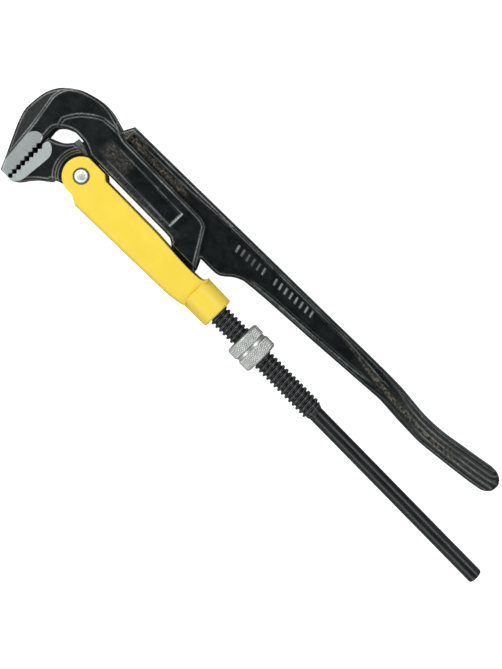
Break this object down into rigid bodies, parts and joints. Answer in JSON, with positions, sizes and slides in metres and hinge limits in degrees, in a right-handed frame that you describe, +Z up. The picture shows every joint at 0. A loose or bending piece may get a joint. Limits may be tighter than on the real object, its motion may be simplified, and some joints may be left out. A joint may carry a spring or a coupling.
{
  "type": "pipe wrench",
  "caption": "Corner pipe wrench with a hooked toothed jaw, a sliding jaw in a folded yellow bracket, a threaded spindle with a knurled nut, and a long S-bent handle.",
  "frame": {"origin": "centre of the footprint of the tool lying on its side, at the lowest point", "axes": "+X along the spindle towards its free end, +Y from the spindle towards the long handle, +Z up through the side of the tool"},
  "size_m": [0.3502, 0.077, 0.021],
  "materials": {
    "forged_black": "semi-gloss blackened drop forging, ground flanks on the jaws",
    "bracket_yellow": "satin powder coat",
    "rivet_zinc": "bright zinc plate",
    "spindle_black": "blackened and oiled",
    "pin_steel": "plain turned",
    "nut_steel": "matt nickel, knurled"
  },
  "bodies": {
    "handle": {"main_handle": "forged_black"},
    "spindle": {"spindle": "spindle_black", "spindle_hinge_pin": "pin_steel"},
    "bracket": {"jaw_bracket": "bracket_yellow", "jaw_rivet": "rivet_zinc"},
    "lower_jaw": {"lower_jaw": "forged_black"},
    "nut": {"adjusting_nut": "nut_steel"}
  },
  "joints": [
    {"name": "spindle_swing", "type": "hinge", "parent": "handle", "child": "spindle", "pos_m": [-0.05482, -0.01001, 0.0105], "axis": [0, 0, 1], "range_deg": [0, 6]},
    {"name": "jaw_slide", "type": "slide", "parent": "spindle", "child": "bracket", "axis": [1, 0, 0], "range_m": [0, 0.038]},
    {"name": "jaw_tilt", "type": "hinge", "parent": "bracket", "child": "lower_jaw", "pos_m": [-0.12732, -0.01001, 0.0105], "axis": [0, 0, 1], "range_deg": [0, 10]},
    {"name": "nut_turn", "type": "hinge", "parent": "bracket", "child": "nut", "pos_m": [0.00198, -0.01001, 0.0105], "axis": [1, 0, 0], "range_deg": [0, 4890]}
  ],
  "couplings": [
    {"joint": "nut_turn", "follows": "jaw_slide", "rad_per_m": 2244}
  ]
}
